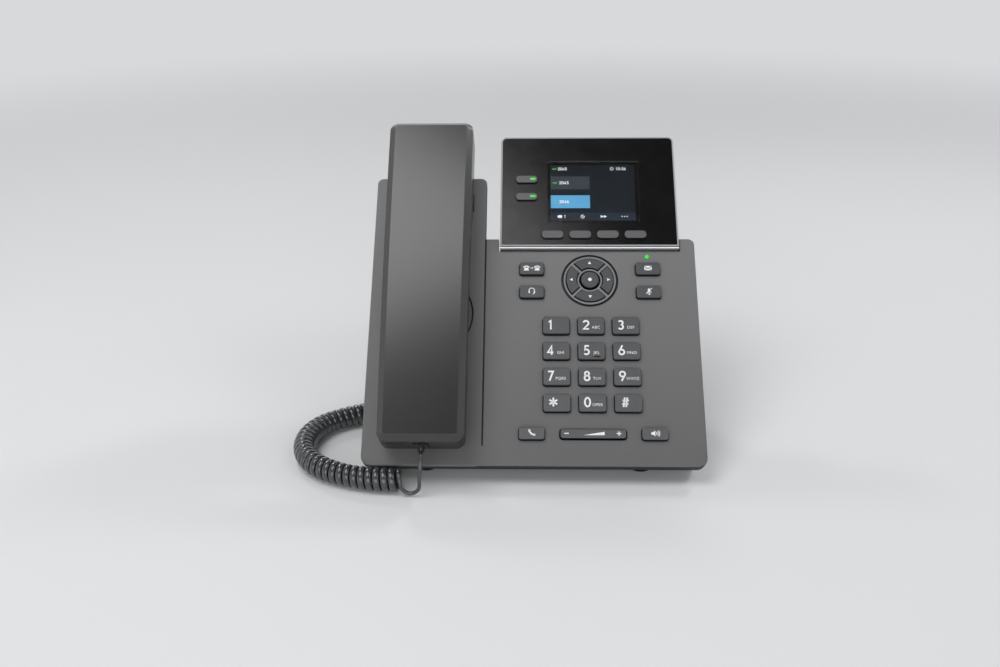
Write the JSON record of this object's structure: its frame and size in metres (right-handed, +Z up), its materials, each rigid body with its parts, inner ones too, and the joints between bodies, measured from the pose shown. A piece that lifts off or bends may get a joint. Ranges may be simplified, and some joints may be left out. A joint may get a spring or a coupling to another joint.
{
  "type": "desk ip phone",
  "caption": "Desktop IP phone: sloping keypad face, raised screen with soft keys, handset beside it on a coiled cord, rear sockets and a clip-on stand.",
  "frame": {"origin": "on the desk, under the middle of the phone's bounding box, the cord left out", "axes": "+X to the user's right, +Y away from the user, +Z up; the keypad faces -Y and up"},
  "size_m": [0.2264, 0.1662, 0.1667],
  "materials": {
    "housing": "satin grey",
    "handset": "satin grey",
    "keys": "satin dark grey",
    "gloss_black": "gloss",
    "clear_lens": "clear",
    "screen": "dark screen",
    "bright_trim": "bright",
    "light_pipe": "frosted",
    "circuit_board": "matt green",
    "rubber": "matt",
    "steel": "plain",
    "jack": "black",
    "cord": "satin dark grey",
    "plug": "smoked"
  },
  "bodies": {
    "base": {"front_housing": "housing", "rear_housing": "housing", "desk_stand": "housing", "rubber_feet": "rubber", "housing_screws": "steel", "display_frame": "housing", "display_back_cover": "housing", "faceplate": "gloss_black", "display_lens": "clear_lens", "lcd_panel": "screen", "display_trim": "bright_trim", "display_board": "circuit_board", "nav_ring": "housing", "message_light": "light_pipe", "main_board": "circuit_board", "key_mat": "rubber", "loudspeaker": "steel", "port_board": "circuit_board", "network_jacks": "jack", "cord_jacks": "jack", "cord_coil": "cord", "base_tail": "cord", "base_plug": "plug"},
    "handset": {"handset_back_shell": "handset", "handset_front_cover": "handset", "handset_receiver": "jack", "handset_mic": "jack", "handset_plug": "plug", "handset_tail": "cord"},
    "hook_switch": {"hook_switch": "keys"},
    "volume_rocker": {"volume_rocker": "keys"},
    "key_1": {"key_1": "keys"},
    "key_2": {"key_2": "keys"},
    "key_3": {"key_3": "keys"},
    "key_4": {"key_4": "keys"},
    "key_5": {"key_5": "keys"},
    "key_6": {"key_6": "keys"},
    "key_7": {"key_7": "keys"},
    "key_8": {"key_8": "keys"},
    "key_9": {"key_9": "keys"},
    "key_star": {"key_star": "keys"},
    "key_0": {"key_0": "keys"},
    "key_hash": {"key_hash": "keys"},
    "transfer_key": {"transfer_key": "keys"},
    "headset_key": {"headset_key": "keys"},
    "message_key": {"message_key": "keys"},
    "mute_key": {"mute_key": "keys"},
    "send_key": {"send_key": "keys"},
    "speaker_key": {"speaker_key": "keys"},
    "nav_up": {"nav_up": "keys"},
    "nav_down": {"nav_down": "keys"},
    "nav_left": {"nav_left": "keys"},
    "nav_right": {"nav_right": "keys"},
    "nav_ok": {"nav_ok": "keys"},
    "line_key_1": {"line_key_1": "keys"},
    "line_key_2": {"line_key_2": "keys"},
    "soft_key_1": {"soft_key_1": "keys"},
    "soft_key_2": {"soft_key_2": "keys"},
    "soft_key_3": {"soft_key_3": "keys"},
    "soft_key_4": {"soft_key_4": "keys"}
  },
  "joints": [
    {"name": "key_1_press", "type": "slide", "parent": "base", "child": "key_1", "axis": [0, 0.6947, -0.7193], "range_m": [0, 0.0012], "stiffness_N_per_m": 400, "springref_m": -0.0005},
    {"name": "key_2_press", "type": "slide", "parent": "base", "child": "key_2", "axis": [0, 0.6947, -0.7193], "range_m": [0, 0.0012], "stiffness_N_per_m": 400, "springref_m": -0.0005},
    {"name": "key_3_press", "type": "slide", "parent": "base", "child": "key_3", "axis": [0, 0.6947, -0.7193], "range_m": [0, 0.0012], "stiffness_N_per_m": 400, "springref_m": -0.0005},
    {"name": "key_4_press", "type": "slide", "parent": "base", "child": "key_4", "axis": [0, 0.6947, -0.7193], "range_m": [0, 0.0012], "stiffness_N_per_m": 400, "springref_m": -0.0005},
    {"name": "key_5_press", "type": "slide", "parent": "base", "child": "key_5", "axis": [0, 0.6947, -0.7193], "range_m": [0, 0.0012], "stiffness_N_per_m": 400, "springref_m": -0.0005},
    {"name": "key_6_press", "type": "slide", "parent": "base", "child": "key_6", "axis": [0, 0.6947, -0.7193], "range_m": [0, 0.0012], "stiffness_N_per_m": 400, "springref_m": -0.0005},
    {"name": "key_7_press", "type": "slide", "parent": "base", "child": "key_7", "axis": [0, 0.6947, -0.7193], "range_m": [0, 0.0012], "stiffness_N_per_m": 400, "springref_m": -0.0005},
    {"name": "key_8_press", "type": "slide", "parent": "base", "child": "key_8", "axis": [0, 0.6947, -0.7193], "range_m": [0, 0.0012], "stiffness_N_per_m": 400, "springref_m": -0.0005},
    {"name": "key_9_press", "type": "slide", "parent": "base", "child": "key_9", "axis": [0, 0.6947, -0.7193], "range_m": [0, 0.0012], "stiffness_N_per_m": 400, "springref_m": -0.0005},
    {"name": "key_star_press", "type": "slide", "parent": "base", "child": "key_star", "axis": [0, 0.6947, -0.7193], "range_m": [0, 0.0012], "stiffness_N_per_m": 400, "springref_m": -0.0005},
    {"name": "key_0_press", "type": "slide", "parent": "base", "child": "key_0", "axis": [0, 0.6947, -0.7193], "range_m": [0, 0.0012], "stiffness_N_per_m": 400, "springref_m": -0.0005},
    {"name": "key_hash_press", "type": "slide", "parent": "base", "child": "key_hash", "axis": [0, 0.6947, -0.7193], "range_m": [0, 0.0012], "stiffness_N_per_m": 400, "springref_m": -0.0005},
    {"name": "transfer_key_press", "type": "slide", "parent": "base", "child": "transfer_key", "axis": [0, 0.6947, -0.7193], "range_m": [0, 0.0012], "stiffness_N_per_m": 400, "springref_m": -0.0005},
    {"name": "headset_key_press", "type": "slide", "parent": "base", "child": "headset_key", "axis": [0, 0.6947, -0.7193], "range_m": [0, 0.0012], "stiffness_N_per_m": 400, "springref_m": -0.0005},
    {"name": "message_key_press", "type": "slide", "parent": "base", "child": "message_key", "axis": [0, 0.6947, -0.7193], "range_m": [0, 0.0012], "stiffness_N_per_m": 400, "springref_m": -0.0005},
    {"name": "mute_key_press", "type": "slide", "parent": "base", "child": "mute_key", "axis": [0, 0.6947, -0.7193], "range_m": [0, 0.0012], "stiffness_N_per_m": 400, "springref_m": -0.0005},
    {"name": "send_key_press", "type": "slide", "parent": "base", "child": "send_key", "axis": [0, 0.6947, -0.7193], "range_m": [0, 0.0012], "stiffness_N_per_m": 400, "springref_m": -0.0005},
    {"name": "speaker_key_press", "type": "slide", "parent": "base", "child": "speaker_key", "axis": [0, 0.6947, -0.7193], "range_m": [0, 0.0012], "stiffness_N_per_m": 400, "springref_m": -0.0005},
    {"name": "nav_up_press", "type": "slide", "parent": "base", "child": "nav_up", "axis": [0, 0.6947, -0.7193], "range_m": [0, 0.001], "stiffness_N_per_m": 400, "springref_m": -0.0005},
    {"name": "nav_down_press", "type": "slide", "parent": "base", "child": "nav_down", "axis": [0, 0.6947, -0.7193], "range_m": [0, 0.001], "stiffness_N_per_m": 400, "springref_m": -0.0005},
    {"name": "nav_left_press", "type": "slide", "parent": "base", "child": "nav_left", "axis": [0, 0.6947, -0.7193], "range_m": [0, 0.001], "stiffness_N_per_m": 400, "springref_m": -0.0005},
    {"name": "nav_right_press", "type": "slide", "parent": "base", "child": "nav_right", "axis": [0, 0.6947, -0.7193], "range_m": [0, 0.001], "stiffness_N_per_m": 400, "springref_m": -0.0005},
    {"name": "nav_ok_press", "type": "slide", "parent": "base", "child": "nav_ok", "axis": [0, 0.6947, -0.7193], "range_m": [0, 0.001], "stiffness_N_per_m": 400, "springref_m": -0.0005},
    {"name": "line_key_1_press", "type": "slide", "parent": "base", "child": "line_key_1", "axis": [0, 0.6947, -0.7193], "range_m": [0, 0.001], "stiffness_N_per_m": 400, "springref_m": -0.0005},
    {"name": "line_key_2_press", "type": "slide", "parent": "base", "child": "line_key_2", "axis": [0, 0.6947, -0.7193], "range_m": [0, 0.001], "stiffness_N_per_m": 400, "springref_m": -0.0005},
    {"name": "soft_key_1_press", "type": "slide", "parent": "base", "child": "soft_key_1", "axis": [0, 0.6947, -0.7193], "range_m": [0, 0.001], "stiffness_N_per_m": 400, "springref_m": -0.0005},
    {"name": "soft_key_2_press", "type": "slide", "parent": "base", "child": "soft_key_2", "axis": [0, 0.6947, -0.7193], "range_m": [0, 0.001], "stiffness_N_per_m": 400, "springref_m": -0.0005},
    {"name": "soft_key_3_press", "type": "slide", "parent": "base", "child": "soft_key_3", "axis": [0, 0.6947, -0.7193], "range_m": [0, 0.001], "stiffness_N_per_m": 400, "springref_m": -0.0005},
    {"name": "soft_key_4_press", "type": "slide", "parent": "base", "child": "soft_key_4", "axis": [0, 0.6947, -0.7193], "range_m": [0, 0.001], "stiffness_N_per_m": 400, "springref_m": -0.0005},
    {"name": "volume_rock", "type": "hinge", "parent": "base", "child": "volume_rocker", "pos_m": [0.03185, -0.0566, 0.02162], "axis": [0, 0.7193, 0.6947], "range_deg": [-3, 3], "stiffness_Nm_per_rad": 0.4},
    {"name": "handset_lift", "type": "slide", "parent": "base", "child": "handset", "axis": [0, -0.6947, 0.7193], "range_m": [0, 0.06]},
    {"name": "hook_rise", "type": "slide", "parent": "base", "child": "hook_switch", "axis": [0, -0.6947, 0.7193], "range_m": [0, 0.004]}
  ],
  "couplings": [
    {"joint": "hook_rise", "follows": "handset_lift", "ratio": 0.066667}
  ]
}
